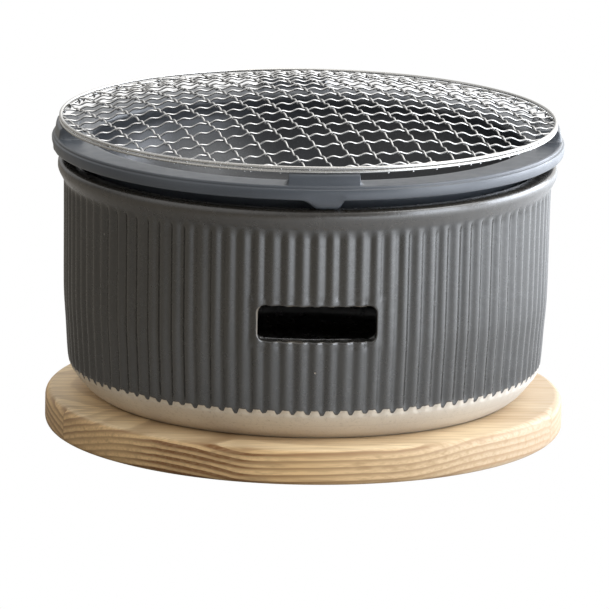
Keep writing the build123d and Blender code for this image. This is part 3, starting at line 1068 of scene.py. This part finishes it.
def tube(verts, faces, path, radius, seg=8, closed=False, radii=None):
    """A round tube along a list of points, with parallel-transported frames."""
    n = len(path)
    tang = []
    for i in range(n):
        if closed:
            a, b = path[i - 1], path[(i + 1) % n]
        else:
            a, b = path[max(i - 1, 0)], path[min(i + 1, n - 1)]
        tang.append((b - a).normalized())
    up = Vector((0, 0, 1))
    if abs(tang[0].dot(up)) > 0.9:
        up = Vector((1, 0, 0))
    nrm = (up - tang[0] * up.dot(tang[0])).normalized()
    start = len(verts)
    for i in range(n):
        nrm = (nrm - tang[i] * nrm.dot(tang[i])).normalized()
        bi = tang[i].cross(nrm)
        rr = radii[i] if radii else radius
        for q in range(seg):
            f = tau * q / seg
            p = path[i] + (nrm * cos(f) + bi * sin(f)) * rr
            verts.append((p.x, p.y, p.z))
    for i in range(n - 1 if not closed else n):
        a = start + i * seg
        b = start + ((i + 1) % n) * seg
        for q in range(seg):
            w = (q + 1) % seg
            faces.append((a + q, a + w, b + w, b + q))
    if not closed:
        verts.append(tuple(path[0] - tang[0] * radius * 0.35))
        c = len(verts) - 1
        for q in range(seg):
            faces.append((start + (q + 1) % seg, start + q, c))
        verts.append(tuple(path[-1] + tang[-1] * radius * 0.35))
        c = len(verts) - 1
        e = start + (n - 1) * seg
        for q in range(seg):
            faces.append((e + q, e + (q + 1) % seg, c))


def make_rings():
    for name, node, z, seed in (("rim_ring_lower", "net_rim_lower", LOW_Z, 1), ("rim_ring_upper", "net_rim_upper", UP_Z, 2)):
        verts, faces = [], []
        n = 360
        rnd = random.Random(seed)
        ph = [rnd.uniform(0, tau) for _ in range(4)]
        pts = []
        for i in range(n):
            a = tau * i / n
            r = RIM_R - 0.12 + 0.10 * sin(2 * a + ph[0]) + 0.05 * sin(5 * a + ph[1])
            zz = z + (0.06 * sin(3 * a + ph[2]) + 0.04 * sin(6 * a + ph[3])) * (1 if seed == 2 else 0.4)
            pts.append(Vector((r * cos(a), r * sin(a), zz)))
        tube(verts, faces, pts, 0.80, seg=14, closed=True)
        o = build(name, verts, faces, [MAT_RIM], "net")
        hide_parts(node)


def make_wires(turn, sign, offset, meet, name, node, seed):
    """One family of crimped wires, woven over and under the other family."""
    along = Vector((cos(turn), sin(turn), 0))
    across = Vector((-sin(turn), cos(turn), 0))
    rnd = random.Random(seed)
    verts, faces = [], []
    reach = RIM_R - 0.9
    for k in range(-9, 10):
        off = k * PITCH + offset
        half = sqrt(reach ** 2 - off ** 2)
        amp0 = 0.52
        jit = [rnd.uniform(-0.10, 0.10) for _ in range(3)]
        shift = rnd.uniform(-0.15, 0.15)
        n = max(24, int(2 * half / 0.72))
        path = []
        for i in range(n + 1):
            s = lerp(-half, half, i / n)
            o2 = off + shift + jit[0] * sin(s * 0.045 + k) + 0.05 * sin(s * 0.21 + 2 * k)
            r = hypot(s, o2)
            # over and under, with one extra wave between crossings
            wave = cos(3 * pi * ((s - meet) / PITCH)) * (1 if k % 2 == 0 else -1) * sign
            edge = sstep(reach - 0.8, reach - 7.5, r)
            z = MID_Z + dome(r) + amp0 * wave * edge + 0.08 * jit[1] * sin(s * 0.05)
            p = across * o2 + along * s
            path.append(Vector((p.x, p.y, z)))
        # the cut ends are bent down inside the lower ring and peep out below it
        for end in (0, -1):
            e = path[end]
            out = Vector((e.x, e.y, 0)).normalized()
            d = (math.degrees(atan2(out.y, out.x) - PAN_TURN + pi / 2) + 45) % 90 - 45
            # over a pad there is no room below the ring
            low = -2.35 if abs(d) > 9.5 else -1.35
            hook = [out * (RIM_R + q) + Vector((0, 0, MID_Z + h)) for q, h in ((-1.15, -0.35), (-1.30, -0.95), (-1.15, low + 0.45), (-0.75, low))]
            if end == 0:
                path = list(reversed(hook)) + path
            else:
                path = path + hook
        tube(verts, faces, path, WIRE_R, seg=8)
    o = build(name, verts, faces, [MAT_WIRE], "net")
    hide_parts(node)
    return o


board = make_board()
body = make_body()
pan = make_pan()
grate = make_grate()
make_rings()
make_wires(TURN_B, -1, 0.54, -1.9, "mesh_wires_across", "net_wires_across", 11)
make_wires(TURN_B + pi / 2, 1, 1.9, 0.54, "mesh_wires_along", "net_wires_along", 12)

# ------------------------------------------------------------------ stage


def floor_material():
    """White paper: glows evenly white where the camera looks at it; elsewhere a grey bounce painted from shade at the
    left to light at the right, with a painted glow on the right.
    """
    mat = bpy.data.materials.new("floor_paper")
    mat.use_nodes = True
    t = mat.node_tree
    t.nodes.clear()
    out = t.nodes.new("ShaderNodeOutputMaterial")
    mix = t.nodes.new("ShaderNodeMixShader")
    path = t.nodes.new("ShaderNodeLightPath")
    grey = t.nodes.new("ShaderNodeBsdfDiffuse")
    # the paper runs from a shaded left to a bright right
    coord = t.nodes.new("ShaderNodeTexCoord")
    axes = t.nodes.new("ShaderNodeSeparateXYZ")
    t.links.new(coord.outputs["Object"], axes.inputs[0])
    fade = t.nodes.new("ShaderNodeMapRange")
    fade.interpolation_type = "SMOOTHSTEP"
    fade.inputs["From Min"].default_value = -0.35
    fade.inputs["From Max"].default_value = 0.45
    t.links.new(axes.outputs[0], fade.inputs["Value"])
    tone = t.nodes.new("ShaderNodeMix")
    tone.data_type = "RGBA"
    tone.inputs["A"].default_value = (0.25, 0.23, 0.20, 1.0)
    tone.inputs["B"].default_value = (0.90, 0.93, 0.97, 1.0)
    t.links.new(fade.outputs[0], tone.inputs["Factor"])
    t.links.new(tone.outputs["Result"], grey.inputs["Color"])
    # painted light: the right of the paper glows, standing in for daylight spilling over it
    painted_glow_spill = t.nodes.new("ShaderNodeMapRange")
    painted_glow_spill.interpolation_type = "SMOOTHSTEP"
    painted_glow_spill.inputs["From Min"].default_value = 0.10
    painted_glow_spill.inputs["From Max"].default_value = 0.75
    painted_glow_spill.inputs["To Min"].default_value = 0.0
    painted_glow_spill.inputs["To Max"].default_value = 1.30
    t.links.new(axes.outputs[0], painted_glow_spill.inputs["Value"])
    painted_day_glow = t.nodes.new("ShaderNodeEmission")
    painted_day_glow.inputs["Color"].default_value = (0.93, 0.965, 1.0, 1.0)
    t.links.new(painted_glow_spill.outputs[0], painted_day_glow.inputs["Strength"])
    both = t.nodes.new("ShaderNodeAddShader")
    t.links.new(grey.outputs[0], both.inputs[0])
    t.links.new(painted_day_glow.outputs[0], both.inputs[1])
    glow = t.nodes.new("ShaderNodeEmission")
    glow.inputs["Strength"].default_value = 1.0
    t.links.new(path.outputs["Is Camera Ray"], mix.inputs[0])
    t.links.new(both.outputs[0], mix.inputs[1])
    t.links.new(glow.outputs[0], mix.inputs[2])
    t.links.new(mix.outputs[0], out.inputs[0])
    return mat


def make_floor():
    verts, faces = [], []
    n = 24
    size = 9000.0
    for j in range(n + 1):
        for i in range(n + 1):
            verts.append((lerp(-size, size, i / n), lerp(-size, size, j / n), -0.05))
    for j in range(n):
        for i in range(n):
            a = j * (n + 1) + i
            faces.append((a, a + 1, a + n + 2, a + n + 1))
    mesh = bpy.data.meshes.new("floor")
    mesh.from_pydata([(x * MM, y * MM, z * MM) for x, y, z in verts], [], faces)
    mesh.materials.append(floor_material())
    obj = bpy.data.objects.new("floor", mesh)
    scene.collection.objects.link(obj)


make_floor()


def area(name, pos, target, size, power, color=(1, 1, 1), size_y=None, spread=180):
    data = bpy.data.lights.new(name, "AREA")
    data.shape = "RECTANGLE"
    data.size = size
    data.size_y = size_y or size
    data.energy = power
    data.color = color
    data.spread = radians(spread)
    obj = bpy.data.objects.new(name, data)
    scene.collection.objects.link(obj)
    obj.location = pos
    d = Vector(target) - Vector(pos)
    obj.rotation_euler = d.to_track_quat("-Z", "Y").to_euler()
    return obj


def make_world():
    """A studio that is bright to the right and behind, dark to the left and in front."""
    world = bpy.data.worlds.new("studio")
    scene.world = world
    world.use_nodes = True
    t = world.node_tree
    bg = t.nodes["Background"]
    coord = t.nodes.new("ShaderNodeTexCoord")

    def lobe(direction, lo, hi, strength):
        d = Vector(direction).normalized()
        dot = t.nodes.new("ShaderNodeVectorMath")
        dot.operation = "DOT_PRODUCT"
        t.links.new(coord.outputs["Generated"], dot.inputs[0])
        dot.inputs[1].default_value = d
        r = t.nodes.new("ShaderNodeMapRange")
        r.interpolation_type = "SMOOTHSTEP"
        r.inputs["From Min"].default_value = lo
        r.inputs["From Max"].default_value = hi
        r.inputs["To Min"].default_value = 0.0
        r.inputs["To Max"].default_value = strength
        t.links.new(dot.outputs["Value"], r.inputs["Value"])
        return r.outputs[0]

    def total(*values):
        last = values[0]
        for v in values[1:]:
            m = t.nodes.new("ShaderNodeMath")
            m.operation = "ADD"
            t.links.new(last, m.inputs[0])
            if isinstance(v, bpy.types.NodeSocket):
                t.links.new(v, m.inputs[1])
            else:
                m.inputs[1].default_value = v
            last = m.outputs[0]
        return last

    light = total(
        lobe((1.0, 0.35, 0.30), 0.10, 0.95, 1.5),
        lobe((0.0, 1.0, 0.20), 0.30, 0.95, 0.45),
        lobe((-0.30, -0.25, 1.0), -0.05, 0.85, 0.42),
        lobe((-0.85, -0.50, 0.34), 0.62, 0.97, 0.30),
        0.07,
    )
    t.links.new(light, bg.inputs["Strength"])
    bg.inputs["Color"].default_value = (1.0, 0.995, 0.985, 1.0)


make_world()


def around(az, el, dist):
    """A point at an azimuth turned from the front towards the right."""
    a, e = radians(az), radians(el)
    return (dist * cos(e) * sin(a), -dist * cos(e) * cos(a), dist * sin(e))


# two low soft boxes with a narrow gap, and a wide soft one overhead
area("key_front", around(57, 13.5, 1.9), (0, 0, 0.06), 0.95, 11.5, (0.88, 0.945, 1.06), size_y=0.9)
area("key_side", around(110, 13.5, 1.9), (0, 0, 0.06), 1.75, 35, (0.88, 0.945, 1.06), size_y=0.9)
area("key_high", around(70, 47, 2.2), (0, 0, 0.03), 1.3, 12, (0.95, 0.975, 1.0), size_y=1.0)
area("top_soft", (0.35, 0.35, 2.2), (0, 0, 0.03), 1.6, 10, (1.0, 0.98, 0.95), size_y=1.6)

scene.view_settings.view_transform = "Standard"
scene.view_settings.look = "None"
scene.view_settings.exposure = 0.0
scene.view_settings.gamma = 1.0
